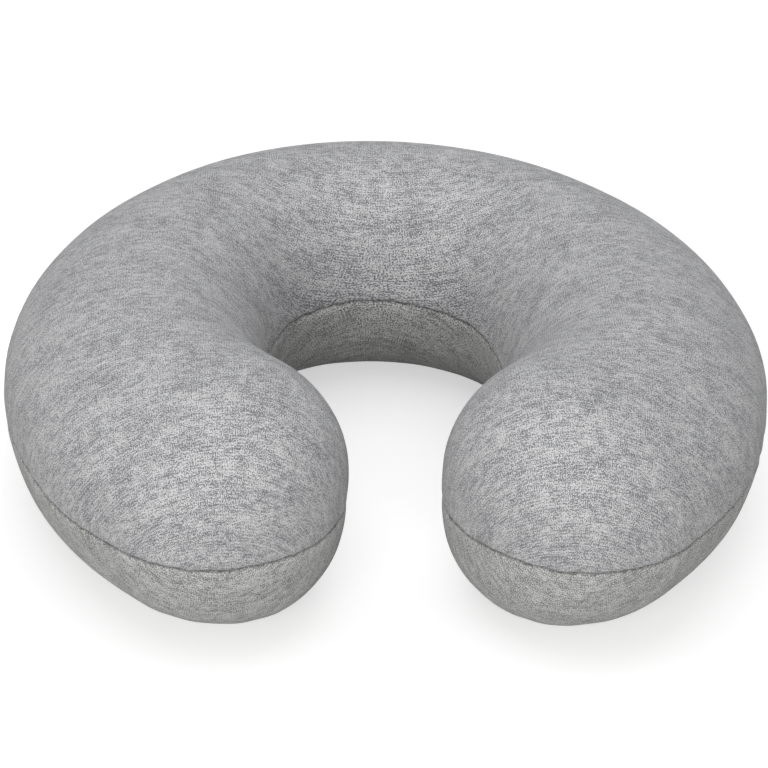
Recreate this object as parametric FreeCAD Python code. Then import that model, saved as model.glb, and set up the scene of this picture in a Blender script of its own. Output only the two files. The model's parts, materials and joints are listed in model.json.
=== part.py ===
"""U-shaped travel neck pillow: a moulded foam core in a sewn liner, inside a zipped cover of marled velour.

The pillow lies flat. +Z is up, the open end of the U faces -Y and the back of the neck rests against the +Y
side. The origin is the centre of the bounding box, on the surface that the pillow lies on. All sizes are in
millimetres.

The plan is a closed chain of tangent arcs, so every layer is the same outline moved inwards: cover, liner,
foam. The cover is two panels sewn together all round at seam_height. Across the back the seam is left open for
a coil zip. Its slider runs on the back arc, and the zip parts are built at the middle of the back, then turned
into place.
"""
import math
import os

import FreeCAD
import Part

V = FreeCAD.Vector
UP = V(0, 0, 1)

# Overall size and plan.
overall_width = 300.0
overall_depth = 286.7
overall_height = 99.0
back_half_angle = 45.0       # degrees of the outer arc round the back, on each side of the middle
arm_end_radius = 50.0        # the round end of each arm
end_gap = 36.5               # the way in between the two arm ends
back_thickness = 80.5        # from the outer back to the neck hollow
nape_radius = 42.8           # the neck hollow, behind the neck
neck_side_radius = 101.5     # the neck hollow, beside the neck

# Cross-section.
crown_radius = 39.0          # the top panel rolls over to the sides, above an upright wall
base_radius = 30.0           # the bottom panel turns up from the flat base
flat_top = 1.0               # left each side of the ridge, where a wall is thin
seam_height = 43.0

# Fabric and foam.
cover_thickness = 1.4        # velour with its pile
side_gap = 0.35              # between the liner's thread and the turned-in seam of the cover
layer_gap = 0.3
liner_thickness = 0.6
sewn_gap = 0.1               # between plies that are sewn together

# Seam allowance: both panels turn in at the seam and hang down inside the cover.
ply_thickness = 0.9
allowance_depth = 9.0
thread = 0.2
liner_stitch_height = 3.0    # the liner's seam is overlocked on its outside

# Coil zip in the back seam.
zip_half_angle = 41.0        # degrees of coil on each side of the middle
slot_gap = 0.65              # between the slider and each panel edge
coil_width = 4.3             # both halves, closed
coil_thickness = 1.9
tape_thickness = 0.55
tape_width = 12.0            # each half
tape_gap = 1.2               # between the two tapes, under the coil
tape_end = 8.0               # tape that runs on past the slot at each end
stitch_inset = 1.6           # topstitching, from the panel's edge
stitch_size = 0.3
stop_length = 2.4

# Slider and pull.
slider_length = 9.0
slider_clearance = 0.4
plate_thickness = 0.9
flange_thickness = 0.8
post_width = 0.6
post_length = 1.6
nose_flare = 0.25            # each shoulder stands this much wider than the tail
bridge_width = 1.6
bridge_thickness = 0.9
bridge_length = 6.4
bridge_corner = 0.72
pull_bar_radius = 0.5
pull_thickness = 1.0
pull_arm = 0.8
pull_width = 5.0
pull_length = 24.0
pull_corner = 2.25
pull_hole_radius = 1.0
swing_gap = 0.3              # between the pull and what it swings past

# Care label, caught in the seam beside the zip's open end.
label_angle = 58.0           # degrees from the middle of the back
label_width = 28.0
label_height = 24.0
label_thickness = 0.25


def along(angle):
    """Unit vector in plan at that many degrees clockwise from +Y."""
    return V(math.sin(math.radians(angle)), math.cos(math.radians(angle)), 0)


def bearing(vector):
    """Degrees clockwise from +Y of a vector in plan."""
    return math.degrees(math.atan2(vector.x, vector.y))


def outer_arcs(back_radius):
    """Flank centre, flank radius, arm end's centre and its bearing from the flank; the back's centre is at 0."""
    sine = math.sin(math.radians(back_half_angle))
    side_radius = (overall_width / 2 - back_radius * sine) / (1 - sine)
    flank = along(back_half_angle) * (back_radius - side_radius)
    reach = side_radius - arm_end_radius
    end_x = end_gap / 2 + arm_end_radius
    angle = 180 - math.degrees(math.asin((end_x - flank.x) / reach))
    return flank, side_radius, flank + along(angle) * reach, angle


def fitted_back_radius():
    """The radius of the back arc that gives the pillow its depth, found by halving."""
    small, large = overall_width / 6, overall_width * 0.7
    while large - small > 1e-9:
        radius = (small + large) / 2
        end = outer_arcs(radius)[2]
        if radius - end.y + arm_end_radius > overall_depth:
            small = radius
        else:
            large = radius
    return (small + large) / 2


back_radius = fitted_back_radius()


def tangent_centre(nape, end):
    """Centre of the arc beside the neck, which runs on from the nape's arc and into the round end of the arm."""
    apart = (end - nape).Length
    from_nape = neck_side_radius - nape_radius
    from_end = neck_side_radius + arm_end_radius
    forward = (from_nape ** 2 - from_end ** 2 + apart ** 2) / (2 * apart)
    aside = math.sqrt(from_nape ** 2 - forward ** 2)
    u = (end - nape) / apart
    return nape + u * forward + V(u.y, -u.x, 0) * aside


def plan_arcs():
    """Centre, radius and bearings of each arc of the +X half, from the middle of the back round to the neck."""
    flank, side_radius, end, a2 = outer_arcs(back_radius)
    nape = V(0, back_radius - back_thickness - nape_radius, 0)
    neck = tangent_centre(nape, end)
    a3 = bearing(neck - end) + 360
    a4 = bearing(nape - neck)
    shift = V(0, overall_depth / 2 - back_radius, 0)
    return {
        "back": (shift, back_radius, -back_half_angle, back_half_angle),
        "flank": (flank + shift, side_radius, back_half_angle, a2),
        "end": (end + shift, arm_end_radius, a2, a3),
        "neck": (neck + shift, neck_side_radius, a3 - 180, a4),
        "nape": (nape + shift, nape_radius, a4, -a4),
    }


ARCS = plan_arcs()
ZIP_CENTRE = ARCS["back"][0]
HOLLOW = ("neck", "nape")

# The wall stays upright behind the zip's tapes, and no rounding is wider than the walls allow.
tape_reach = tape_gap / 2 + tape_width
widest_round = min(back_thickness / 2, arm_end_radius) - flat_top
crown = min(crown_radius, widest_round, overall_height - seam_height - tape_reach)
base = min(base_radius, widest_round, seam_height - tape_reach)

# Insets of what hangs inside the cover at the seam: the lower panel's ply, the upper panel's ply and the
# threads. The liner stands clear of them and of the slider's inner plate.
lower_ply_inset = cover_thickness + 2 * sewn_gap + thread
upper_ply_inset = lower_ply_inset + ply_thickness + sewn_gap
ply_back = upper_ply_inset + ply_thickness
thread_inset = lower_ply_inset - sewn_gap
thread_back = ply_back + sewn_gap
slider_back = cover_thickness + sewn_gap + tape_thickness + slider_clearance + plate_thickness
liner_side = max(thread_back + thread, slider_back) + side_gap + thread + sewn_gap / 2


def arc_edge(name, inset, mirrored=False):
    """One arc of the outline, moved inwards by inset; the neck hollow's arcs grow and the others shrink."""
    centre, radius, start, finish = ARCS[name]
    radius = radius + inset if name in HOLLOW else radius - inset
    points = [centre + along(start + (finish - start) * share) * radius for share in (0, 0.5, 1)]
    if mirrored:
        points = [V(-p.x, p.y, 0) for p in points[::-1]]
    return Part.Arc(*points).toShape()


def outline(inset):
    """The whole plan as a face at z = 0."""
    right = [arc_edge(n, inset) for n in ("flank", "end", "neck")]
    left = [arc_edge(n, inset, mirrored=True) for n in ("neck", "end", "flank")]
    return Part.Face(Part.Wire([arc_edge("back", inset), *right, arc_edge("nape", inset), *left]))


def prism(inset, low, high):
    """The outline from one height to another."""
    face = outline(inset)
    face.translate(V(0, 0, low))
    return face.extrude(V(0, 0, high - low))


def band(outer, inner, low, high):
    """A wall that follows the outline, between two insets."""
    return prism(outer, low, high).cut(prism(inner, low, high))


def cushion(at_side, at_face):
    """The pillow's rounded shape, moved in by at_side at the sides and by at_face at the top and the base."""
    top = overall_height - at_face
    block = prism(at_side, at_face, top)
    for height, radius in ((top, crown), (at_face, base)):
        rim = [e for e in block.Edges if all(abs(v.Z - height) < 1e-6 for v in e.Vertexes)]
        block = block.makeFillet(radius - at_side, rim)
    return block


def slab(low, high):
    """A block wider than the pillow, for cutting at a height."""
    size = 2 * overall_width
    return Part.makeBox(size, size, high - low, V(-size / 2, -size / 2, low))


def sector(inner, outer, low, high, start, finish):
    """Part of a ring about the centre of the back arc, between two bearings."""
    sweep = finish - start
    place = V(ZIP_CENTRE.x, ZIP_CENTRE.y, low)
    ring = Part.makeCylinder(outer, high - low, place, UP, sweep)
    if inner > 0:
        ring = ring.cut(Part.makeCylinder(inner, high - low, place, UP, sweep))
    ring.rotate(ZIP_CENTRE, UP, 90 - finish)
    return ring


def degrees_of(length):
    """The angle that a length covers along the zip."""
    return math.degrees(length / back_radius)


# What the zip parts share: radii from the zip's centre, and heights.
tape_face = back_radius - cover_thickness - sewn_gap
tape_back = tape_face - tape_thickness
coil_face = tape_face + coil_thickness
channel_half = coil_width / 2 + slider_clearance
slider_half = channel_half + flange_thickness
slot_low = seam_height - slider_half - slot_gap
slot_high = seam_height + slider_half + slot_gap
far = overall_width

# The slot is longer than the coil, so that the slider stands clear of the panels at both ends.
slot_half_angle = zip_half_angle + degrees_of(slider_length)
tape_half_angle = slot_half_angle + degrees_of(tape_end)


def zip_wedge(margin):
    """Everything within the tapes' bearings and a margin. The seam's plies and threads stay out of it."""
    half = tape_half_angle + degrees_of(margin)
    return sector(0, far, -1, overall_height + 1, -half, half)


def layers():
    """Foam core and sewn liner."""
    liner_face = cover_thickness + layer_gap
    outside = cushion(liner_side, liner_face)
    inside = cushion(liner_side + liner_thickness, liner_face + liner_thickness)
    liner = outside.cut(inside)
    core_side = liner_side + liner_thickness + layer_gap
    core = cushion(core_side, liner_face + liner_thickness + layer_gap)
    half_gap = sewn_gap / 2
    thread_face = liner_side - sewn_gap / 2
    stitch_low = seam_height - liner_stitch_height / 2
    stitch_high = stitch_low + liner_stitch_height
    return {
        "foam_core": core,
        "liner_upper": liner.common(slab(seam_height + half_gap, far)),
        "liner_lower": liner.common(slab(-1, seam_height - half_gap)),
        "liner_seam_thread": band(thread_face - thread, thread_face, stitch_low, stitch_high),
    }


def cover():
    """The two panels with their turned-in edges, and the threads of the seam that joins them."""
    shell = cushion(0, 0).cut(cushion(cover_thickness, cover_thickness))
    half_gap = sewn_gap / 2
    foot = seam_height - allowance_depth
    wedge = zip_wedge(margin=1.0)

    fold_low = seam_height + half_gap
    upper_fold = band(cover_thickness / 2, ply_back, fold_low, fold_low + ply_thickness)
    upper_ply = band(upper_ply_inset, ply_back, foot, fold_low + ply_thickness)
    fold_high = seam_height - half_gap
    lower_ply_back = lower_ply_inset + ply_thickness
    lower_fold = band(cover_thickness / 2, lower_ply_back, fold_high - ply_thickness, fold_high)
    lower_ply = band(lower_ply_inset, lower_ply_back, foot, fold_high)

    slot = sector(back_radius / 2, far, slot_low, slot_high, -slot_half_angle, slot_half_angle)
    top = shell.common(slab(seam_height + half_gap, far)).cut(slot)
    bottom = shell.common(slab(-1, seam_height - half_gap)).cut(slot)
    top = top.fuse([upper_fold.cut(wedge), upper_ply.cut(wedge)]).removeSplitter()
    bottom = bottom.fuse([lower_fold.cut(wedge), lower_ply.cut(wedge)]).removeSplitter()

    edge = foot - sewn_gap
    overlock = band(thread_inset - thread, thread_back + thread, edge - thread, foot + allowance_depth / 2)
    overlock = overlock.cut(band(thread_inset, thread_back, edge, seam_height))
    row = seam_height - allowance_depth / 3
    needle = band(thread_inset - thread, thread_inset, row - thread / 2, row + thread / 2)
    bobbin = band(thread_back, thread_back + thread, row - thread / 2, row + thread / 2)
    clear = zip_wedge(margin=2.0)
    return {
        "cover_top_panel": top,
        "cover_bottom_panel": bottom,
        "cover_overlock_thread": overlock.cut(clear),
        "cover_seam_thread": Part.makeCompound([needle.cut(clear), bobbin.cut(clear)]),
    }


def care_label():
    """A blank label inside the cover, hanging from the seam and lying against the bottom panel."""
    near = cover_thickness + sewn_gap
    skin = cushion(near, near).cut(cushion(near + label_thickness, near + label_thickness))
    top = seam_height - allowance_depth - 2 * sewn_gap - thread
    half = degrees_of(label_width) / 2
    window = sector(back_radius / 2, far, top - label_height, top, label_angle - half, label_angle + half)
    return {"care_label": skin.common(window)}


def mirrored_in_height(shape):
    """The same shape on the other side of the zip's middle line."""
    return shape.mirror(V(0, 0, seam_height), UP)


# The slider stands at the closed end, on the -X side. Its post is at the end of the coil.
rest_bearing = -zip_half_angle + degrees_of(slider_length / 2)
post_room = degrees_of(post_length + 2 * slider_clearance)


def zip_chain():
    """Tapes, coil halves, stops and topstitching, which stay with the cover."""
    half = zip_half_angle
    tape_low = seam_height + tape_gap / 2
    tape = sector(tape_back, tape_face, tape_low, tape_low + tape_width,
                  -tape_half_angle, tape_half_angle)
    coil_low = seam_height + sewn_gap / 4
    coil_high = seam_height + coil_width / 2
    coil = sector(tape_face, coil_face, coil_low, coil_high, -half, half)
    parted = seam_height + post_width / 2 + slider_clearance
    parted_end = -half + post_room + degrees_of(slider_clearance)
    coil = coil.cut(sector(tape_back, far, 0, parted, -half - 1, parted_end))

    stop_start = -half - degrees_of(sewn_gap + stop_length)
    stop = sector(tape_face, coil_face, tape_low, coil_high, stop_start, stop_start + degrees_of(stop_length))
    box_start = half + degrees_of(sewn_gap)
    box = sector(tape_face, coil_face + sewn_gap, seam_height - coil_width / 2, coil_high,
                 box_start, box_start + degrees_of(stop_length))
    row = slot_high + stitch_inset
    stitches = sector(back_radius, back_radius + stitch_size, row - stitch_size / 2, row + stitch_size / 2,
                      -slot_half_angle, slot_half_angle)
    return {
        "zip_tape_upper": tape,
        "zip_tape_lower": mirrored_in_height(tape),
        "zip_coil_upper": coil,
        "zip_coil_lower": mirrored_in_height(coil),
        "zip_top_stops": Part.makeCompound([stop, mirrored_in_height(stop)]),
        "zip_bottom_stop": box,
        "zip_stitching_upper": stitches,
        "zip_stitching_lower": mirrored_in_height(stitches),
    }


def block(x0, x1, r0, r1, half_height):
    """A box of the slider at the middle of the back: x along the zip, r out from its centre, about the seam."""
    return Part.makeBox(x1 - x0, r1 - r0, 2 * half_height,
                        V(x0, ZIP_CENTRE.y + r0, seam_height - half_height))


def turned(shape, angle):
    """A shape turned about the zip's centre, clockwise from above."""
    shape = shape.copy()
    shape.rotate(ZIP_CENTRE, UP, -angle)
    return shape


# Slider sizes that follow from the coil and the tape.
back_plate_out = tape_back - slider_clearance
front_plate_in = coil_face + slider_clearance
front_plate_out = front_plate_in + plate_thickness
window_height = 2 * (pull_bar_radius + swing_gap)
pivot_radius = front_plate_out + window_height / 2
# The slider's middle is at x = 0, with its nose on the -X side and its tail towards the closed coil.
nose = -slider_length / 2
bridge_end = bridge_length / 2
bridge_top = front_plate_out + window_height + bridge_thickness


def slider_body():
    """Zinc casting: two plates round a Y-shaped channel, joined by the post, with a bridge for the pull."""
    shoulder = nose + slider_length / 3
    tail = slider_half - nose_flare
    plates = []
    for r0, r1 in ((back_plate_out - plate_thickness, back_plate_out), (front_plate_in, front_plate_out)):
        middle = (nose + shoulder) / 2
        corners = [(nose, tail), (middle, slider_half), (shoulder, slider_half), (-nose, tail)]
        ring = corners + [(x, -z) for x, z in corners[::-1]]
        points = [V(x, ZIP_CENTRE.y + r0, seam_height + z) for x, z in ring]
        face = Part.Face(Part.makePolygon([*points, points[0]]))
        plates.append(face.extrude(V(0, r1 - r0, 0)))
    flange_low = tape_face + slider_clearance
    solid = block(nose, -nose, flange_low, front_plate_in, tail)
    channel = block(2 * nose, -2 * nose, 0, front_plate_in, channel_half)
    flanges = solid.cut(channel)
    post_start = nose + slider_clearance
    post = block(post_start, post_start + post_length, back_plate_out, front_plate_in, post_width / 2)
    arch = block(-bridge_end, bridge_end, front_plate_out, bridge_top, bridge_width / 2)
    inside = bridge_end - bridge_thickness
    window = block(-inside, inside, front_plate_out, front_plate_out + window_height, bridge_width)
    body = plates[0].fuse([plates[1], *flanges.Solids, post, arch.cut(window)]).removeSplitter()
    top = [e for e in body.Edges if abs(e.BoundBox.YMin - ZIP_CENTRE.y - bridge_top) < 1e-6
           and e.BoundBox.ZLength > bridge_width / 2]
    return body.makeFillet(bridge_corner, top)


def pull_tab():
    """Stamped pull: a round bar through the bridge, two arms beside it and a flat tab."""
    bar_half = bridge_width / 2 + swing_gap + pull_arm
    axis = V(0, ZIP_CENTRE.y + pivot_radius, seam_height - bar_half)
    bar = Part.makeCylinder(pull_bar_radius, 2 * bar_half, axis, UP)
    r0 = pivot_radius - pull_thickness / 2
    r1 = pivot_radius + pull_thickness / 2
    tab_start = math.hypot(bridge_end, bridge_top - pivot_radius) + swing_gap
    arms = block(0, tab_start, r0, r1, bar_half)
    arms = arms.cut(block(-1, tab_start, r0, r1, bridge_width / 2 + swing_gap))
    tab = block(tab_start, pull_length, r0, r1, pull_width / 2)
    corners = [e for e in tab.Edges if abs(e.BoundBox.XMin - pull_length) < 1e-6
               and e.BoundBox.YLength > pull_thickness / 2]
    tab = tab.makeFillet(pull_corner, corners)
    hole_start = V(pull_length - pull_width / 2, ZIP_CENTRE.y + r0 - pull_thickness, seam_height)
    hole = Part.makeCylinder(pull_hole_radius, 3 * pull_thickness, hole_start, V(0, 1, 0))
    return bar.fuse([*arms.Solids, tab.cut(hole)]).removeSplitter()


def slider_parts():
    """The slider and its pull at the closed end of the zip, with the post inside the parted end of the coil."""
    return {
        "slider_body": turned(slider_body(), rest_bearing),
        "pull_tab": turned(pull_tab(), rest_bearing),
    }


def main():
    os.makedirs("parts", exist_ok=True)
    nodes = {**layers(), **cover(), **care_label(), **zip_chain(), **slider_parts()}
    for name, shape in nodes.items():
        solids = shape.Solids
        shape = solids[0] if len(solids) == 1 else Part.makeCompound(solids)
        if not shape.isValid():
            raise ValueError(f"{name} isn't a valid solid")
        shape.exportStep(f"parts/{name}.step")
        box = shape.BoundBox
        print(f"{name}: {len(solids)} solid(s), {shape.Volume / 1000:.2f} cm3, z {box.ZMin:.1f}..{box.ZMax:.1f}")


main()
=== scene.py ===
import json
import math

import bmesh
import bpy
import numpy as np
from mathutils import Matrix, Vector


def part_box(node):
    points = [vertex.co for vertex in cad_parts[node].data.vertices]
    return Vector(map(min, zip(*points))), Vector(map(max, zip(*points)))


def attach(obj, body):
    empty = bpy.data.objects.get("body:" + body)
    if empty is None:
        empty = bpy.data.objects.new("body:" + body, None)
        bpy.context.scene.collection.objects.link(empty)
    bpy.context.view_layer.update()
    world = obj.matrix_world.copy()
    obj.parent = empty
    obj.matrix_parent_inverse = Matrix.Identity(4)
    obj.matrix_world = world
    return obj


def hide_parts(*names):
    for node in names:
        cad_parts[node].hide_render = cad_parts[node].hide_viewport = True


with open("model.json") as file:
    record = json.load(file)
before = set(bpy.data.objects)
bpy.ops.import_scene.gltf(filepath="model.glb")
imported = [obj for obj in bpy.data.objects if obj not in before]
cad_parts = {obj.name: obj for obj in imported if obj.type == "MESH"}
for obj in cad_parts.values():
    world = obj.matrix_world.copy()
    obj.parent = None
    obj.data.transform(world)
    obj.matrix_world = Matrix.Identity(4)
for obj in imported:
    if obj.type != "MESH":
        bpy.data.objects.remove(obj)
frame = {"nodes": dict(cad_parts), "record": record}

bpy.ops.object.select_all(action="DESELECT")
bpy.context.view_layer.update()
MM = 0.001


# The camera. It stands a little under a metre in front of the pillow's open end, turned and rolled a few
# degrees, and looks 29 degrees down on it with a long lens.
camera_data = bpy.data.cameras.new("camera")
camera_data.lens = 112
camera_data.clip_start = 0.05
camera = bpy.data.objects.new("camera", camera_data)
bpy.context.scene.collection.objects.link(camera)
bpy.context.scene.camera = camera
elevation = math.radians(28.9)
heading = 0.06
roll = 0.039
looking = Vector((math.sin(heading) * math.cos(elevation), math.cos(heading) * math.cos(elevation),
                  -math.sin(elevation)))
to_right = looking.cross(Vector((0, 0, 1))).normalized()
to_top = to_right.cross(looking)
camera_right = to_right * math.cos(roll) + to_top * math.sin(roll)
camera_up = to_top * math.cos(roll) - to_right * math.sin(roll)
aim = Vector((-1.8, -31.2, 55.0)) * MM
camera.matrix_world = Matrix.Translation(aim - looking * 0.927) @ Matrix(
    (camera_right, camera_up, -looking)).transposed().to_4x4()


# The velour cover, fitted. Two panels are sewn together all round and drawn over the foam. The skin starts as
# the pillow's rounded form over a plan of tangent arcs, its arms a millimetre full, and a cloth simulation
# draws its seam tight.
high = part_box("cover_bottom_panel")[1]
zip_joint = next(j for j in frame["record"]["behaviour"]["joints"] if j["name"] == "zip_slide")
half_width = high.x
back_centre = Vector((0, zip_joint["pos_m"][1]))
back_radius = high.y - back_centre.y
back_angle = math.radians(45)
end_radius = 50 * MM
way_in = 34.3 * MM
back_thickness = 80.5 * MM
nape_radius = 42.8 * MM
hollow_radius = 101.5 * MM
pillow_height = 99 * MM
seam_height = high.z


def along(angle):
    """The direction in plan at an angle clockwise from +Y."""
    return Vector((math.sin(angle), math.cos(angle)))


def angle_of(vector):
    return math.atan2(vector.x, vector.y)


flank_radius = (half_width - back_radius * math.sin(back_angle)) / (1 - math.sin(back_angle))
flank_centre = back_centre + along(back_angle) * (back_radius - flank_radius)
end_x = way_in / 2 + end_radius
flank_angle = math.pi - math.asin((end_x - flank_centre.x) / (flank_radius - end_radius))
end_centre = flank_centre + along(flank_angle) * (flank_radius - end_radius)
nape_centre = Vector((0, high.y - back_thickness - nape_radius))
to_end = end_centre - nape_centre
from_nape = hollow_radius - nape_radius
forward = (from_nape ** 2 - (hollow_radius + end_radius) ** 2 + to_end.length ** 2) / (2 * to_end.length)
aside = math.sqrt(from_nape ** 2 - forward ** 2)
unit = to_end.normalized()
hollow_centre = nape_centre + unit * forward + Vector((unit.y, -unit.x)) * aside
hollow_angle = angle_of(end_centre - hollow_centre)
nape_angle = angle_of(nape_centre - hollow_centre)
end_finish = hollow_angle + math.pi
outer_arcs = [(back_centre, back_radius, 0, back_angle),
              (flank_centre, flank_radius, back_angle, flank_angle)]
inner_arcs = [(nape_centre, nape_radius, 0, nape_angle),
              (hollow_centre, hollow_radius, nape_angle, hollow_angle)]
slimmed_by = 4.4
slimmest_at = -42
filled_by = 0.9
fullest_at = -99
stations_along = 62
stations_round = 26
upper_rows = 20
lower_rows = 17
near_seam = (0, 0.8, 2.0, 3.8, 6.5)
ridge_lean = 3.1
more_lean_at_end = 3.5


def on_arcs(arcs, share):
    """The point at that share of the length of a chain of arcs."""
    lengths = [abs(finish - start) * radius for _, radius, start, finish in arcs]
    rest = share * sum(lengths)
    for (centre, radius, start, finish), length in zip(arcs, lengths):
        if rest <= length + 1e-9:
            return centre + along(start + (finish - start) * rest / length) * radius
        rest -= length
    return centre + along(finish) * radius


def eased(point):
    """A point of an arm's inner side, moved: the arm is slimmer beside the hollow and fuller at its end."""
    slimmer = slimmed_by * math.exp(-((point.y / MM - slimmest_at) / 19) ** 2)
    fuller = filled_by * math.exp(-((point.y / MM - fullest_at) / 13) ** 2)
    return Vector((point.x + (slimmer - fuller) * MM, point.y))


def stations():
    """(outline point, ridge point, how far round the arm's end) in order round the outline, from the back."""
    right = []
    for step in range(stations_along + 1):
        share = step / stations_along
        outer = on_arcs(outer_arcs, share)
        inner = eased(on_arcs(inner_arcs, share))
        lean = (ridge_lean + more_lean_at_end * share * share * (3 - 2 * share)) * MM
        right.append((outer, inner, (outer + inner) / 2 + (inner - outer).normalized() * lean))
    pole = right[-1][2]
    fan = []
    for step in range(1, stations_round):
        share = step / stations_round
        turn = flank_angle + (end_finish - flank_angle) * share
        rim = end_centre + along(turn) * end_radius
        fan.append((eased(rim) if share > 0.5 else rim, pole, math.sin(math.pi * share)))
    half = [(o, r, 0.0) for o, i, r in right] + fan + [(i, r, 0.0) for o, i, r in right[::-1]]
    other = [(Vector((-p.x, p.y)), Vector((-r.x, r.y)), e) for p, r, e in half[::-1]]
    return half + other[1:-1]


def section(outline, ridge, round_end, upper, count):
    """Points from the seam to the ridge, with each point's distance from the seam and from the ridge."""
    top_power = 1.92 + 0.43 * round_end ** 2
    base_power = 2.32 + 0.18 * round_end ** 2
    middle = pillow_height / 2
    start = -math.asin(((middle - seam_height) / middle) ** (base_power / 2))
    turns = np.linspace(start, math.pi / 2 if upper else -math.pi / 2, 400)
    power = np.where(turns >= 0, top_power, base_power)
    spread = np.clip(np.cos(turns), 0, 1) ** (2 / power)
    z = middle + middle * np.sign(turns) * np.abs(np.sin(turns)) ** (2 / power)
    if not upper:
        z = np.maximum(z - 0.6 * MM * (1 - z / seam_height), 0)
    points = np.column_stack([np.outer(1 - spread, ridge) + np.outer(spread, outline), z])
    run = np.concatenate([[0], np.cumsum(np.linalg.norm(np.diff(points, axis=0), axis=1))])
    rows = np.array(near_seam) * MM
    rows = np.concatenate([rows, np.linspace(rows[-1], run[-1], count - len(rows) + 1)[1:]])
    return np.column_stack([np.interp(rows, run, points[:, axis]) for axis in range(3)]), rows, run[-1] - rows


def skin():
    """The whole cover as one closed mesh. UV map cloth is its place on the flat cloth, and seam is the run
    along the seam and the distance from it."""
    ring = stations()
    total = len(ring)
    runs = [0.0]
    for index in range(total):
        runs.append(runs[-1] + (ring[(index + 1) % total][0] - ring[index][0]).length)
    verts, shared, columns = [], {}, []
    for outline, ridge, round_end in ring:
        out = (outline - ridge).normalized()
        for upper, count in ((True, upper_rows), (False, lower_rows)):
            points, from_seam, from_ridge = section(outline, ridge, round_end, upper, count)
            column = []
            for row, point in enumerate(points):
                key = len(verts) + 1
                if row == 0:
                    key = ("seam", *np.round(outline, 7))
                elif row == count - 1:
                    key = (upper, *np.round(ridge, 7))
                if key not in shared:
                    shared[key] = len(verts)
                    verts.append(point)
                flat = ridge + out * from_ridge[row]
                column.append((shared[key], tuple(flat), from_seam[row]))
            columns.append(column)
    faces, panels, cloth, seam = [], [], [], []
    for index in range(total):
        for panel in (0, 1):
            here = [(*entry, runs[index]) for entry in columns[2 * index + panel]]
            after = [(*entry, runs[index + 1]) for entry in columns[2 * ((index + 1) % total) + panel]]
            for row in range(len(here) - 1):
                corners = [here[row], here[row + 1], after[row + 1], after[row]]
                if panel:
                    corners.reverse()
                corners = list({corner[0]: corner for corner in corners}.values())
                if len(corners) > 2:
                    faces.append([corner[0] for corner in corners])
                    panels.append(panel)
                    cloth += [corner[1] for corner in corners]
                    seam += [(corner[3], corner[2]) for corner in corners]
    mesh = bpy.data.meshes.new("skin")
    mesh.from_pydata([tuple(v) for v in verts], [], faces)
    mesh.polygons.foreach_set("material_index", panels)
    mesh.polygons.foreach_set("use_smooth", [True] * len(faces))
    mesh.uv_layers.new(name="cloth").data.foreach_set("uv", np.array(cloth).ravel())
    mesh.uv_layers.new(name="seam").data.foreach_set("uv", np.array(seam).ravel())
    made = bpy.data.objects.new("skin", mesh)
    bpy.context.scene.collection.objects.link(made)
    return made


def read_points(mesh):
    points = np.zeros(len(mesh.vertices) * 3)
    mesh.vertices.foreach_get("co", points)
    return points.reshape(-1, 3)


def write_points(mesh, points):
    mesh.vertices.foreach_set("co", points.ravel())
    mesh.update()


def read_normals(mesh):
    normals = np.zeros(len(mesh.vertices) * 3)
    mesh.vertices.foreach_get("normal", normals)
    return normals.reshape(-1, 3)


def seam_places(mesh):
    """Each vertex's run along the seam and distance from it, in millimetres."""
    corner_vertex = np.zeros(len(mesh.loops), int)
    mesh.loops.foreach_get("vertex_index", corner_vertex)
    corner_place = np.zeros(len(mesh.loops) * 2)
    mesh.uv_layers["seam"].data.foreach_get("uv", corner_place)
    places = np.zeros((len(mesh.vertices), 2))
    places[corner_vertex] = corner_place.reshape(-1, 2) / MM
    return places[:, 0], places[:, 1]


def ramp_down(values, full, none):
    """1 at full and 0 at none, smooth between them."""
    share = np.clip((none - values) / (none - full), 0, 1)
    return share * share * (3 - 2 * share)


def on_back(points):
    """Bearing in degrees round the back arc, and distance from its centre."""
    x = points[:, 0] - back_centre.x
    y = points[:, 1] - back_centre.y
    return np.degrees(np.arctan2(x, y)), np.hypot(x, y)


def only(made):
    """Selects one object and makes it the active one."""
    bpy.ops.object.select_all(action="DESELECT")
    made.select_set(True)
    bpy.context.view_layer.objects.active = made


def apply_modifier(made, kind, **settings):
    """Adds a modifier with its settings and applies it."""
    only(made)
    modifier = made.modifiers.new(kind.title(), kind)
    for name, value in settings.items():
        setattr(modifier, name, value)
    bpy.ops.object.modifier_apply(modifier=modifier.name)


def smooth(made):
    made.data.polygons.foreach_set("use_smooth", [True] * len(made.data.polygons))


cover = skin()
form = read_points(cover.data)

# The crown is lower across the back, and the seam dips round the arms' ends.
crown_drop = 1.8 * MM
seam_dip = 1.9 * MM
above = np.clip((form[:, 2] - seam_height) / (pillow_height - seam_height), 0, 1)
form[:, 2] -= crown_drop * above * ramp_down(-form[:, 1] / MM, -85, -20)
run, away = seam_places(cover.data)
form[:, 2] -= seam_dip * np.exp(-away / 16) * ramp_down(form[:, 1] / MM, -120, -60)

# The wall behind the zip is held while the rest of the seam is drawn in.
wall_middle = 44 * MM
wall_half_height = 14 * MM
wall_end = 26 * MM
bearings, radii = on_back(form)
held_back = ramp_down(np.abs(bearings), 52, 62) * (radii > back_radius * 0.8) * (form[:, 1] > 0)
wall = ramp_down(np.abs(form[:, 2] - wall_middle), wall_half_height, wall_end) * held_back

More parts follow.
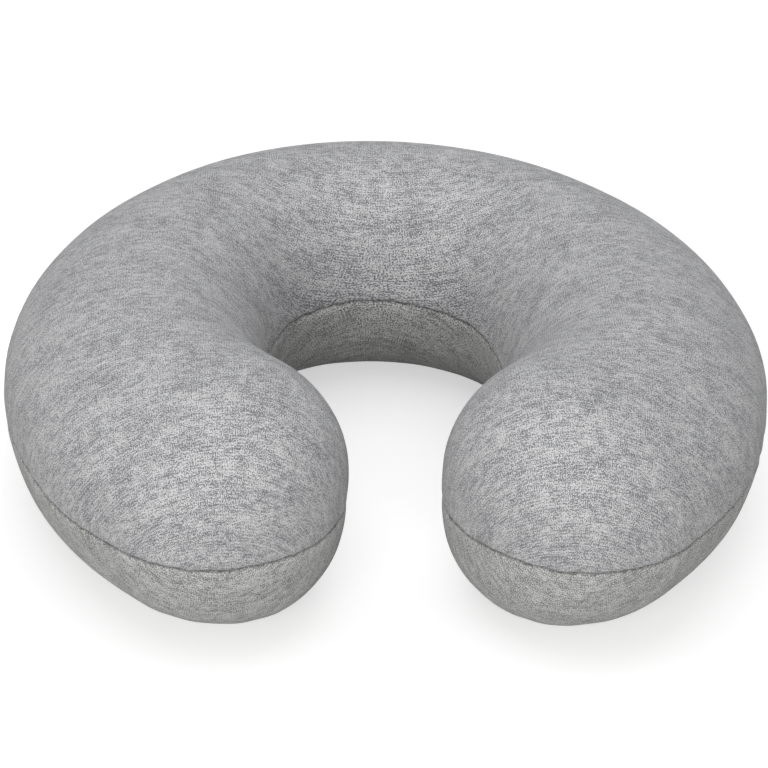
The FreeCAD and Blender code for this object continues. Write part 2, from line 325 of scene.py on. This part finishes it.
pinned = cover.vertex_groups.new(name="pinned")
gathered = cover.vertex_groups.new(name="gathered")
held = np.maximum(wall, 1 - ramp_down(away, 5, 26))
tight = ramp_down(away, 0.5, 5) * (0.6 + 0.4 * np.sin(run / 3.1 + 2 * np.sin(run / 13)))
for index, (hold, gather) in enumerate(zip(held, tight)):
    pinned.add([index], float(hold), "REPLACE")
    gathered.add([index], float(gather), "REPLACE")
only(cover)
drawing = cover.modifiers.new("Cloth", "CLOTH")
drawing.settings.use_pressure = True
drawing.settings.uniform_pressure_force = 4
drawing.settings.vertex_group_mass = "pinned"
drawing.settings.vertex_group_shrink = "gathered"
drawing.settings.shrink_max = 0.05
drawing.settings.effector_weights.gravity = 0
for step in range(1, 21):
    bpy.context.scene.frame_set(step)
drawn = read_points(cover.evaluated_get(bpy.context.evaluated_depsgraph_get()).data)
cover.modifiers.remove(drawing)
bpy.context.scene.frame_set(1)
cover.vertex_groups.clear()
moved = drawn - form
size = np.linalg.norm(moved, axis=1)
most_moved = 0.8 * MM
moved *= (most_moved * np.tanh(size / most_moved) / np.maximum(size, 1e-9))[:, None]
form = form + moved * (1 - wall)[:, None]
form[:, 2] = np.clip(form[:, 2], 0, pillow_height)

# Across the back, the wall behind the zip stands upright.
bearings, radii = on_back(form)
straight = form.copy()
straight[:, 0] = back_centre.x + np.sin(np.radians(bearings)) * back_radius
straight[:, 1] = back_centre.y + np.cos(np.radians(bearings)) * back_radius
form += (straight - form) * (wall * ramp_down(np.abs(bearings), 48.5, 56))[:, None]
write_points(cover.data, form)
smooth(cover)


# The foam core, moulded in one piece from slow-recovery foam. It fills the cover: it is closest to the velour
# at the top and the base, and leaves room at the sides for the seam's turned-in edges and the zip's slider.
room_all_over = 1.9
room_at_sides = 4.2
room_height = 40
room_spread = 13


class Dye:
    """An output in a material's nodes. Sums and products of it add the nodes that work them out."""

    def __init__(self, tree, socket=None):
        self.tree = tree
        self.socket = socket

    def node(self, kind, settings=None, inputs=None, output=0):
        """A node of that kind, with its settings made before its inputs."""
        made = self.tree.nodes.new(kind)
        for name, value in (settings or {}).items():
            setattr(made, name, value)
        for name, value in (inputs or {}).items():
            if isinstance(value, Dye):
                self.tree.links.new(value.socket, made.inputs[name])
            else:
                made.inputs[name].default_value = value
        return Dye(self.tree, made.outputs[output])

    def maths(self, operation, first, second=0.0):
        return self.node("ShaderNodeMath", {"operation": operation}, {0: first, 1: second})

    def __add__(self, other):
        return self.maths("ADD", self, other)

    def __sub__(self, other):
        return self.maths("SUBTRACT", self, other)

    def __mul__(self, other):
        return self.maths("MULTIPLY", self, other)

    def mix(self, first, second):
        """The first colour where this is 0 and the second where it is 1."""
        return self.node("ShaderNodeMix", {"data_type": "RGBA"}, {0: self, 6: first, 7: second}, output=2)

    def noise(self, place, scale, detail=2.0, roughness=0.5):
        return self.node("ShaderNodeTexNoise", {}, {"Vector": place, "Scale": scale, "Detail": detail,
                                                    "Roughness": roughness})

    def bump(self, height, depth, strength=1.0):
        return self.node("ShaderNodeBump", {}, {"Strength": strength, "Distance": depth, "Height": height})

    def feed(self, **links):
        """Joins varying values to the shader's own inputs."""
        shader = self.tree.nodes["Principled BSDF"]
        for socket, dye in links.items():
            self.tree.links.new(dye.socket, shader.inputs[socket.replace("_", " ")])


def finish_of(name, **constants):
    """A new material with constant values on its shader, as a Dye to work its patterns out with."""
    material = bpy.data.materials.new(name)
    material.use_nodes = True
    shader = material.node_tree.nodes["Principled BSDF"]
    for socket, value in constants.items():
        shader.inputs[socket.replace("_", " ")].default_value = value
    return material, Dye(material.node_tree)


def wear(made, material):
    made.data.materials.clear()
    made.data.materials.append(material)


def lining(name, extra):
    """A copy of the cover's form, moved inwards by the room at the sides and a little more."""
    made = bpy.data.objects.new(name, cover.data.copy())
    bpy.context.scene.collection.objects.link(made)
    points = read_points(made.data)
    at_sides = np.exp(-((points[:, 2] / MM - room_height) / room_spread) ** 2)
    inwards = (room_all_over + extra + room_at_sides * at_sides) * MM
    write_points(made.data, points - read_normals(made.data) * inwards[:, None])
    return made


liner_and_gap = 1.1
foam = lining("foam_core_visual", liner_and_gap)
foam_finish, dye = finish_of("moulded_foam", Roughness=0.85, Subsurface_Weight=0.1, Subsurface_Scale=0.002)
here = dye.node("ShaderNodeTexCoord", output=3)
patches = dye.noise(here, 28, 3)
pores = dye.node("ShaderNodeTexVoronoi", {}, {"Vector": here, "Scale": 900})
dye.feed(Base_Color=(patches + pores * 0.3 - 0.15).mix((0.72, 0.66, 0.50, 1), (0.80, 0.76, 0.62, 1)),
         Normal=dye.bump(pores + patches, 0.0004, 0.6))
wear(foam, foam_finish)
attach(foam, "pillow")
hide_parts("foam_core")


# The liner, a thin off-white knit sewn round the foam from two panels of the cover's own pattern. It keeps
# the foam clean when the cover is off for washing, and its overlocked seam faces out.
def part(whole, panel, name):
    """A copy of a mesh with only one panel's faces."""
    made = bpy.data.objects.new(name, whole.data.copy())
    bpy.context.scene.collection.objects.link(made)
    mesh = bmesh.new()
    mesh.from_mesh(made.data)
    bmesh.ops.delete(mesh, geom=[f for f in mesh.faces if f.material_index != panel], context="FACES")
    for face in mesh.faces:
        face.material_index = 0
    mesh.to_mesh(made.data)
    mesh.free()
    return made


def seam_ring(made):
    """The panel's seam as rows of (run along it, x, y, z), in order and in millimetres."""
    run, away = seam_places(made.data)
    chosen = np.where(away < 0.05)[0]
    chosen = chosen[np.argsort(run[chosen])]
    return np.column_stack([run[chosen], read_points(made.data)[chosen] / MM])


liner_finish, dye = finish_of("liner_knit", Roughness=0.9, Sheen_Weight=0.15)
here = dye.node("ShaderNodeUVMap", {"uv_map": "cloth"})
wales = dye.node("ShaderNodeTexWave", {}, {"Vector": here, "Scale": 260, "Distortion": 0.6, "Detail": 1.0})
courses = dye.node("ShaderNodeTexWave", {"bands_direction": "Y"}, {"Vector": here, "Scale": 320,
                                                                   "Distortion": 0.6, "Detail": 1.0})
dye.feed(Base_Color=(wales * 0.5 + courses * 0.5).mix((0.68, 0.68, 0.65, 1), (0.84, 0.84, 0.81, 1)),
         Normal=dye.bump(wales * courses, 0.0003, 0.7))
lining_form = lining("liner", 0.0)
liner_rings = {}
for index, name in enumerate(("liner_upper", "liner_lower")):
    made = part(lining_form, index, f"{name}_visual")
    liner_rings[name] = seam_ring(made)
    apply_modifier(made, "SOLIDIFY", thickness=0.6 * MM, offset=-1)
    smooth(made)
    wear(made, liner_finish)
    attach(made, "pillow")
    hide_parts(name)
bpy.data.objects.remove(lining_form)


# The cover's two panels, of marled short-pile velour. The seam pulls the cloth in and puckers it, its edges
# are turned in and hang inside, and across the back both edges are folded under and stand apart for the zip.
allowance_depth = 9.0 * MM
turned_in = {"cover_top": 3.4 * MM, "cover_bottom": 2.0 * MM}
cloth_thickness = 1.3 * MM
opening = 4.0 * MM
groove_depth = 1.15
pucker_depth = 0.26
wave_height = 0.30
fold_depth = 0.5
crease_depth = 0.10
opening_half_angle = 41 + math.degrees(9 * MM / back_radius)
apply_modifier(cover, "SUBSURF", levels=1, render_levels=1)


def dress(made, upper):
    """Pulls in the seam, adds its puckers and parts the zip's edges, on one panel."""
    mesh = made.data
    run, away = seam_places(mesh)
    points = read_points(mesh)
    normals = read_normals(mesh)
    bearings, radii = on_back(points)
    at_back = (radii > back_radius * 0.9) & (points[:, 1] > 0)
    parted = ramp_down(np.abs(bearings), opening_half_angle - 3.0, opening_half_angle - 0.5) * at_back
    sewn = 1 - parted
    groove = groove_depth * np.exp(-away) + 0.2 * np.exp(-away / 5)
    pucker = np.sin(run / 2.9 + 1.3 * np.sin(run / 11)) + 0.8 * np.sin(run / 1.9 + 2.0 * np.sin(run / 17) + 1)
    strength = 0.6 + 0.4 * np.sin(run / 23 + 2)
    puckers = pucker_depth * strength * pucker * np.exp(-away / 6) * (1 - np.exp(-away / 1.2))
    long_wave = wave_height * np.sin(run / 9.5 + np.sin(run / 31)) * np.exp(-away / 22)
    fold = fold_depth * np.exp(-away / 0.8)
    shift = (-groove + puckers + long_wave) * sewn - fold * parted
    points += normals * (shift * MM)[:, None]
    lift = opening * parted * (np.clip(1 - away / 16, 0, 1)) ** 2
    points[:, 2] += lift if upper else -lift
    wander = 0.5 * np.sin(run / 13 + 1.7 * np.sin(run / 37))
    wander += 0.22 * np.sin(run / 1.6 + 2 * np.sin(run / 7))
    points[:, 2] += wander * np.exp(-away / 6) * sewn * MM
    if not upper:
        near_base = np.exp(-((points[:, 2] / MM - 9) / 7) ** 2)
        crease = np.sin(run / 4.1 + 1.5 * np.sin(run / 19)) + 0.6 * np.sin(run / 2.6 + 1)
        points += normals * (crease_depth * crease * near_base * MM)[:, None]
    points[:, 2] = np.maximum(points[:, 2], 0)
    write_points(mesh, points)


def turn_in(made, inset):
    """Extrudes the sewn part of a panel's edge inwards and then down, as its seam allowance."""
    mesh = bmesh.new()
    mesh.from_mesh(made.data)
    mesh.normal_update()
    edge = []
    for side in (e for e in mesh.edges if e.is_boundary):
        bearings, _ = on_back(np.array([v.co for v in side.verts]))
        if min(abs(bearings)) > opening_half_angle + 0.6 or side.verts[0].co.y < back_centre.y:
            edge.append(side)
    outward = {v: Vector((v.normal.x, v.normal.y, 0)).normalized() for side in edge for v in side.verts}
    inner = bmesh.ops.extrude_edge_only(mesh, edges=edge)["geom"]
    fresh = [v for v in inner if isinstance(v, bmesh.types.BMVert)]
    for vert in fresh:
        source = min(outward, key=lambda v: (v.co - vert.co).length_squared)
        vert.co -= outward[source] * inset
    hanging = bmesh.ops.extrude_edge_only(mesh, edges=[e for e in inner if isinstance(e, bmesh.types.BMEdge)])
    for vert in hanging["geom"]:
        if isinstance(vert, bmesh.types.BMVert):
            vert.co.z -= allowance_depth
    mesh.to_mesh(made.data)
    mesh.free()


def velour(name, light, dark):
    """Marled velour: fine two-tone fibres over rows of knitted loops, with painted shade darkening it down in
    the seam.
    """
    material, dye = finish_of(name, Sheen_Weight=0.22, Sheen_Roughness=0.45, Specular_IOR_Level=0.12,
                              Roughness=0.95)
    flat = dye.node("ShaderNodeUVMap", {"uv_map": "cloth"})

    def fibres(stretch, scale, detail, place):
        drawn = dye.node("ShaderNodeMapping", {}, {"Vector": flat, "Location": place,
                                                   "Scale": (1 / stretch, 1, 1)})
        return dye.node("ShaderNodeTexNoise", {"noise_dimensions": "2D"},
                        {"Vector": drawn, "Scale": scale, "Detail": detail, "Roughness": 0.55}) - 0.5

    clouds = fibres(2.2, 110, 2, (1, 2, 0))
    streaks = fibres(2.4, 500, 2, (3, 1, 0))
    flecks = fibres(1.4, 1100, 1, (5, 4, 0))
    grain = fibres(1.0, 2300, 0, (2, 7, 0))

    def loops(direction, scale):
        return dye.node("ShaderNodeTexWave", {"bands_direction": direction},
                        {"Vector": flat, "Scale": scale, "Distortion": 2.5, "Detail": 2,
                         "Detail Scale": 5}) - 0.5

    wales = loops("X", 330)
    courses = loops("Y", 260)
    marl = clouds * 0.85 + streaks * 1.5 + flecks * 1.1 + grain * 2.9 + wales * 0.26 + courses * 0.32 + 0.5
    # Painted shade: within 1.1 mm of the seam the colour is mixed towards a third of the dark tone, broken up
    # by noise, as the shade down in the seam's groove.
    place = dye.node("ShaderNodeUVMap", {"uv_map": "seam"})
    apart = dye.node("ShaderNodeSeparateXYZ", {}, {0: place}, output=1)
    uneven = dye.noise(place, 420, 2) * 2.4 - 0.35
    seam_shade_mask = dye.node("ShaderNodeMapRange", {"interpolation_type": "SMOOTHSTEP"},
                       {"Value": apart, "From Min": 0.0, "From Max": 1.1 * MM, "To Min": 0.6, "To Max": 0.0})
    painted_seam_shade = tuple(value * 0.35 for value in dark[:3]) + (1,)
    relief = grain * 1.1 + flecks * 0.9 + streaks * 0.12 + wales * 0.35 + courses * 0.5
    dye.feed(Base_Color=(seam_shade_mask * uneven).mix(marl.mix(dark, light), painted_seam_shade),
             Normal=dye.bump(relief, 0.0005, 0.5))
    return material


# The lower panel's velour is the same cloth as the upper's, given a slightly darker, greener colour as
# painted shade on the lower panel.
velours = {"cover_top": velour("velour_upper", (0.600, 0.600, 0.602, 1), (0.175, 0.176, 0.193, 1)),
           "cover_bottom": velour("velour_lower_painted_shade", (0.580, 0.582, 0.566, 1), (0.165, 0.167, 0.166, 1))}
seam_rings = {}
for index, name in enumerate(("cover_top", "cover_bottom")):
    made = part(cover, index, name)
    dress(made, index == 0)
    seam_rings[name] = seam_ring(made)
    turn_in(made, turned_in[name])
    apply_modifier(made, "SOLIDIFY", thickness=cloth_thickness, offset=-1)
    smooth(made)
    wear(made, velours[name])
    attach(made, "pillow")
    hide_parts(f"{name}_panel")


# The cover's threads. An overlock thread wraps both turned-in edges together, and a lockstitch runs along the
# fold a few millimetres from the edge. Both are grey spun polyester, and both hang inside the cover.
def thread(name, splines, radius, closed=False, sides=0):
    """One mesh of round thread along one or more lists of points, in millimetres."""
    curve = bpy.data.curves.new(name, "CURVE")
    curve.dimensions = "3D"
    curve.bevel_depth = radius * MM
    curve.bevel_resolution = sides
    curve.use_fill_caps = not closed
    for points in splines:
        spline = curve.splines.new("POLY")
        spline.points.add(len(points) - 1)
        weighted = np.column_stack([np.array(points) * MM, np.ones(len(points))])
        spline.points.foreach_set("co", weighted.ravel())
        spline.use_cyclic_u = closed
    made = bpy.data.objects.new(name, curve)
    bpy.context.scene.collection.objects.link(made)
    only(made)
    bpy.ops.object.convert(target="MESH")
    smooth(made)
    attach(made, "pillow")
    return made


def along_ring(ring, runs, inset, drop):
    """Points at those runs along a seam, moved in from it and down."""
    total = ring[-1, 0] + np.linalg.norm(ring[0, 1:] - ring[-1, 1:])
    loop = np.vstack([ring, [total, *ring[0, 1:]]])
    places = np.column_stack([np.interp(runs % total, loop[:, 0], loop[:, axis]) for axis in (1, 2, 3)])
    ahead = np.column_stack([np.interp((runs + 1) % total, loop[:, 0], loop[:, axis]) for axis in (1, 2, 3)])
    forward = (ahead - places)[:, :2]
    forward /= np.linalg.norm(forward, axis=1)[:, None]
    places[:, 0] += forward[:, 1] * inset
    places[:, 1] -= forward[:, 0] * inset
    places[:, 2] -= drop
    return places


def sewn_runs(ring, pitch):
    """Runs along the cover's seam at that pitch, from one end of the zip's opening round to the other."""
    bearings, _ = on_back(ring[:, 1:3] * MM)
    behind = (np.abs(bearings) < opening_half_angle + 1.5) & (ring[:, 2] > 0)
    sewn = ring[~behind, 0]
    return np.arange(sewn.min(), sewn.max(), pitch)


def spun(name, light, dark):
    material, dye = finish_of(name, Roughness=0.8, Sheen_Weight=0.2)
    here = dye.node("ShaderNodeTexCoord", output=3)
    dye.feed(Base_Color=dye.noise(here, 2500, 2).mix(dark, light),
             Normal=dye.bump(dye.noise(here, 4000), 0.0001))
    return material


thread_finish = spun("grey_spun_thread", (0.30, 0.30, 0.31, 1), (0.16, 0.16, 0.17, 1))
ring = seam_rings["cover_bottom"]
loop_runs = sewn_runs(ring, 0.65)
outside = 1.7
inside = 5.0
wrap_top = 4.6
wrap_bottom = 9.4
wrap = [(outside, wrap_top), (outside, wrap_bottom), (inside, wrap_bottom), (inside, wrap_top)]
corners = np.array([wrap[step % 4] for step in range(len(loop_runs))])
overlock_path = along_ring(ring, loop_runs, corners[:, 0], corners[:, 1])
overlock = thread("cover_overlock", [overlock_path], radius=0.15)
stitch_runs = sewn_runs(ring, 1.5)
stitch_drop = 3.0
dip = np.where(np.arange(len(stitch_runs)) % 2, 0.12, 0.0)
needle_row = along_ring(ring, stitch_runs, 1.75 + dip, stitch_drop)
bobbin_row = along_ring(ring, stitch_runs, 4.95 - dip, stitch_drop)
lockstitch = thread("cover_lockstitch", [needle_row, bobbin_row], radius=0.12)
for made, node in ((overlock, "cover_overlock_thread"), (lockstitch, "cover_seam_thread")):
    wear(made, thread_finish)
    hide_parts(node)


# The liner's seam thread, white spun polyester. It is overlocked over the outside of the liner's seam all the
# way round, and closes the liner for good once the foam is in.
ring = liner_rings["liner_lower"]
loop_runs = np.arange(0, ring[-1, 0], 0.9)
swing = np.where(np.arange(len(loop_runs)) % 2, 1.4, -1.4)
liner_thread = thread("liner_overlock", [along_ring(ring, loop_runs, -0.18, swing)], radius=0.14,
                      closed=True)
wear(liner_thread, spun("white_spun_thread", (0.82, 0.82, 0.79, 1), (0.62, 0.62, 0.60, 1)))
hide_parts("liner_seam_thread")


# The care label, a blank ribbon of white satin caught in the seam beside the zip's open end. It hangs inside
# the cover and lies against the lower panel.
label_inset = 1.9
label_low, label_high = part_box("care_label")
label = part(cover, 1, "label")
label_mesh = bmesh.new()
label_mesh.from_mesh(label.data)
outside_label = []
for face in label_mesh.faces:
    middle = face.calc_center_median()
    in_plan = label_low.x < middle.x < label_high.x and label_low.y < middle.y < label_high.y
    if not in_plan or not label_low.z < middle.z < label_high.z:
        outside_label.append(face)
bmesh.ops.delete(label_mesh, geom=outside_label, context="FACES")
for vert in label_mesh.verts:
    vert.co -= vert.normal * label_inset * MM
label_mesh.to_mesh(label.data)
label_mesh.free()
apply_modifier(label, "SOLIDIFY", thickness=0.25 * MM, offset=-1)
smooth(label)
satin, dye = finish_of("label_satin", Roughness=0.4, Sheen_Weight=0.1)
here = dye.node("ShaderNodeUVMap", {"uv_map": "cloth"})
ribs = dye.node("ShaderNodeTexWave", {"bands_direction": "Y"}, {"Vector": here, "Scale": 500})
dye.feed(Base_Color=ribs.mix((0.80, 0.80, 0.78, 1), (0.88, 0.88, 0.86, 1)), Normal=dye.bump(ribs, 0.0001))
wear(label, satin)
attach(label, "pillow")
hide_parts("care_label")
bpy.data.objects.remove(cover)


# The zip's two tapes, woven polyester in dark grey. Each is sewn behind one folded edge and carries one half
# of the coil. They are the CAD's own pieces.
tape_finish, dye = finish_of("woven_tape", Roughness=0.75, Sheen_Weight=0.1)
here = dye.node("ShaderNodeTexCoord", output=3)
across = dye.node("ShaderNodeTexWave", {"bands_direction": "Z"}, {"Vector": here, "Scale": 300})
ribs = dye.node("ShaderNodeTexWave", {}, {"Vector": here, "Scale": 420})
dye.feed(Base_Color=(across * ribs).mix((0.06, 0.06, 0.065, 1), (0.125, 0.125, 0.135, 1)),
         Normal=dye.bump(across * ribs, 0.0002, 0.8))
for node in ("zip_tape_upper", "zip_tape_lower"):
    wear(frame["nodes"][node], tape_finish)


# The zip's two coil halves: one nylon filament each, wound into a flat coil whose heads lock between the
# other half's. They lie on the tapes and part at the closed end, round the slider's post.
coil_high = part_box("zip_coil_upper")[1]
coil_half_angle = math.radians(41)
filament = 0.32
turn_pitch = 1.25
turn_half_width = 1.3
half_offset = 0.85
parted_by = 0.75
tape_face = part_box("zip_tape_upper")[1].y - back_centre.y
coil_face = coil_high.y - back_centre.y
nylon, dye = finish_of("nylon_filament", Roughness=0.35)
here = dye.node("ShaderNodeTexCoord", output=3)
dye.feed(Base_Color=dye.noise(here, 220, 2).mix((0.07, 0.07, 0.075, 1), (0.11, 0.11, 0.12, 1)))
for name, side in (("zip_coil_upper", 1), ("zip_coil_lower", -1)):
    length = 2 * coil_half_angle * coil_face / MM
    turns = int(length / turn_pitch)
    step = np.arange(turns * 8 + 1)
    angle = step * math.pi / 4
    travel = (step / 8 + (0.5 if side < 0 else 0.0)) * turn_pitch
    bearing = -coil_half_angle + travel * MM / coil_face
    flat = np.sign(np.cos(angle)) * np.abs(np.cos(angle)) ** 0.7
    radius = (tape_face + coil_face) / 2 / MM + flat * ((coil_face - tape_face) / MM / 2 - filament)
    parting = parted_by * ramp_down(travel, 2.6, 6.0)
    head = half_offset + parting + np.sin(angle) * (turn_half_width - filament)
    height = seam_height / MM + side * head
    places = np.column_stack([back_centre.x / MM + np.sin(bearing) * radius,
                              back_centre.y / MM + np.cos(bearing) * radius, height])
    coil = thread(f"{name}_turns", [places], radius=filament, sides=1)
    wear(coil, nylon)
    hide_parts(name)


# The zip's stops, of the coil's own nylon. A small block is clamped on each half at the closed end, and a box
# joins both halves at the other end, so that the slider can't run off.
for node in ("zip_top_stops", "zip_bottom_stop"):
    made = bpy.data.objects.new(f"{node}_moulded", frame["nodes"][node].data.copy())
    bpy.context.scene.collection.objects.link(made)
    only(made)
    bpy.ops.object.mode_set(mode="EDIT")
    bpy.ops.mesh.select_all(action="SELECT")
    bpy.ops.mesh.remove_doubles(threshold=0.00001)
    bpy.ops.object.mode_set(mode="OBJECT")
    apply_modifier(made, "BEVEL", width=0.25 * MM, segments=2, limit_method="ANGLE")
    wear(made, nylon)
    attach(made, "pillow")
    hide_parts(node)


# The topstitching, a row of grey spun polyester stitches along each folded edge. It goes through the velour
# and the tape behind it, and is all that holds the zip in the cover.
stitch_pitch = 3.1
stitch_length = 2.3
stands_out = 0.16
ends_sink = 0.30
for name, made_name in (("zip_stitching_upper", "topstitch_upper"),
                        ("zip_stitching_lower", "topstitch_lower")):
    row_low, row_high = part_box(name)
    half_run = math.radians(opening_half_angle) * back_radius / MM
    stitches = []
    for start in np.arange(-half_run + 1, half_run - stitch_length, stitch_pitch):
        share = np.linspace(0, 1, 5)
        bearing = (start + share * stitch_length) * MM / back_radius
        radius = back_radius / MM + stands_out - ends_sink * (2 * share - 1) ** 4
        height = np.full(5, (row_low.z + row_high.z) / 2 / MM)
        stitches.append(np.column_stack([back_centre.x / MM + np.sin(bearing) * radius,
                                         back_centre.y / MM + np.cos(bearing) * radius, height]))
    row = thread(made_name, stitches, radius=0.2, sides=1)
    wear(row, thread_finish)
    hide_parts(name)


# The slider and its pull, cast and stamped in zinc alloy and painted satin grey. The pull's bar turns in the
# slider's bridge. Both keep the CAD's shape, with their edges rounded over as casting and paint leave them.
paint, dye = finish_of("satin_grey_paint", Metallic=0.6, Roughness=0.38, Coat_Weight=0.25)
here = dye.node("ShaderNodeTexCoord", output=3)
dye.feed(Base_Color=dye.noise(here, 350, 3).mix((0.20, 0.20, 0.215, 1), (0.30, 0.30, 0.32, 1)),
         Normal=dye.bump(dye.noise(here, 1800, 2), 0.00005, 0.5))
for node, body, rounding in (("slider_body", "zip_slider", 0.14), ("pull_tab", "zip_pull", 0.16)):
    made = bpy.data.objects.new(f"{node}_finished", frame["nodes"][node].data.copy())
    bpy.context.scene.collection.objects.link(made)
    only(made)
    bpy.ops.object.mode_set(mode="EDIT")
    bpy.ops.mesh.select_all(action="SELECT")
    bpy.ops.mesh.remove_doubles(threshold=0.00001)
    bpy.ops.mesh.dissolve_limited(angle_limit=math.radians(1))
    bpy.ops.object.mode_set(mode="OBJECT")
    apply_modifier(made, "BEVEL", width=rounding * MM, segments=2, limit_method="ANGLE",
                   angle_limit=math.radians(35))
    bpy.ops.object.shade_smooth_by_angle(angle=math.radians(35))
    wear(made, paint)
    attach(made, body)
    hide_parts(node)


# The floor, a sheet of white paper under the pillow. It takes the pillow's soft shadow, and sends back less
# light to the pillow than it shows. Well away from the pillow it shows plain white.
def white_to_camera(tree, plain, output, socket, strength):
    """White where the camera or a shiny surface looks, and the plain shader for every other ray."""
    path = tree.nodes.new("ShaderNodeLightPath")
    seen = tree.nodes.new("ShaderNodeMath")
    seen.operation = "MAXIMUM"
    tree.links.new(path.outputs["Is Camera Ray"], seen.inputs[0])
    tree.links.new(path.outputs["Is Glossy Ray"], seen.inputs[1])
    chosen = tree.nodes.new("ShaderNodeMixShader")
    tree.links.new(seen.outputs[0], chosen.inputs[0])
    tree.links.new(plain, chosen.inputs[1])
    tree.links.new(strength, chosen.inputs[2])
    tree.links.new(chosen.outputs[0], output.inputs[socket])


bpy.ops.object.select_all(action="DESELECT")
bpy.ops.mesh.primitive_plane_add(size=6)
floor = bpy.context.object
floor.name = "floor"
paper, dye = finish_of("paper", Roughness=0.9)
shader = paper.node_tree.nodes["Principled BSDF"]
shader.inputs["Base Color"].default_value = (0.30, 0.30, 0.30, 1)
shown = paper.node_tree.nodes.new("ShaderNodeBsdfDiffuse")
shown.inputs["Color"].default_value = (0.64, 0.64, 0.64, 1)
glow = paper.node_tree.nodes.new("ShaderNodeEmission")
glow.inputs["Strength"].default_value = 0.52
sheet = paper.node_tree.nodes.new("ShaderNodeAddShader")
paper.node_tree.links.new(shown.outputs[0], sheet.inputs[0])
paper.node_tree.links.new(glow.outputs[0], sheet.inputs[1])
blank = paper.node_tree.nodes.new("ShaderNodeEmission")
distance = dye.node("ShaderNodeVectorMath", {"operation": "LENGTH"},
                    {0: dye.node("ShaderNodeTexCoord", output=3)}, output=1)
fading = dye.node("ShaderNodeMapRange", {"interpolation_type": "SMOOTHSTEP"},
                  {"Value": distance, "From Min": 0.4, "From Max": 1.0})
whole_sheet = paper.node_tree.nodes.new("ShaderNodeMixShader")
paper.node_tree.links.new(fading.socket, whole_sheet.inputs[0])
paper.node_tree.links.new(sheet.outputs[0], whole_sheet.inputs[1])
paper.node_tree.links.new(blank.outputs[0], whole_sheet.inputs[2])
white_to_camera(paper.node_tree, shader.outputs[0], paper.node_tree.nodes["Material Output"], "Surface",
                whole_sheet.outputs[0])
wear(floor, paper)


# The studio's light. A large soft lamp hangs overhead, slightly cool, another stands low in front, slightly
# warm, and a weak one behind. The room round them is white and dim.
world = bpy.data.worlds.new("world")
bpy.context.scene.world = world
world.use_nodes = True
room = world.node_tree.nodes["Background"]
room.inputs[0].default_value = (1, 1, 1, 1)
room.inputs[1].default_value = 0.33
white = world.node_tree.nodes.new("ShaderNodeBackground")
white.inputs[0].default_value = (1, 1, 1, 1)
white.inputs[1].default_value = 1.0
white_to_camera(world.node_tree, room.outputs[0], world.node_tree.nodes["World Output"], "Surface",
                white.outputs[0])


def softbox(name, place, towards, width, depth, watts, colour):
    """A large soft lamp."""
    lamp = bpy.data.lights.new(name, "AREA")
    lamp.shape = "RECTANGLE"
    lamp.size = width
    lamp.size_y = depth
    lamp.energy = watts
    lamp.color = colour
    made = bpy.data.objects.new(name, lamp)
    bpy.context.scene.collection.objects.link(made)
    made.location = place
    made.rotation_euler = (Vector(towards) - Vector(place)).to_track_quat("-Z", "Y").to_euler()


softbox("overhead", (-0.1, 0.1, 1.3), (0, 0, 0.05), 1.6, 1.2, 8.1, (0.97, 0.97, 1.0))
softbox("front", (-0.25, -1.65, 0.66), (0, 0, 0.05), 1.6, 0.8, 26, (1.0, 0.995, 0.98))
softbox("behind", (0.3, 1.6, 0.35), (0, 0, 0.05), 1.2, 0.6, 7, (1.0, 1.0, 1.0))
bpy.context.scene.view_settings.view_transform = "Standard"

bpy.context.view_layer.update()
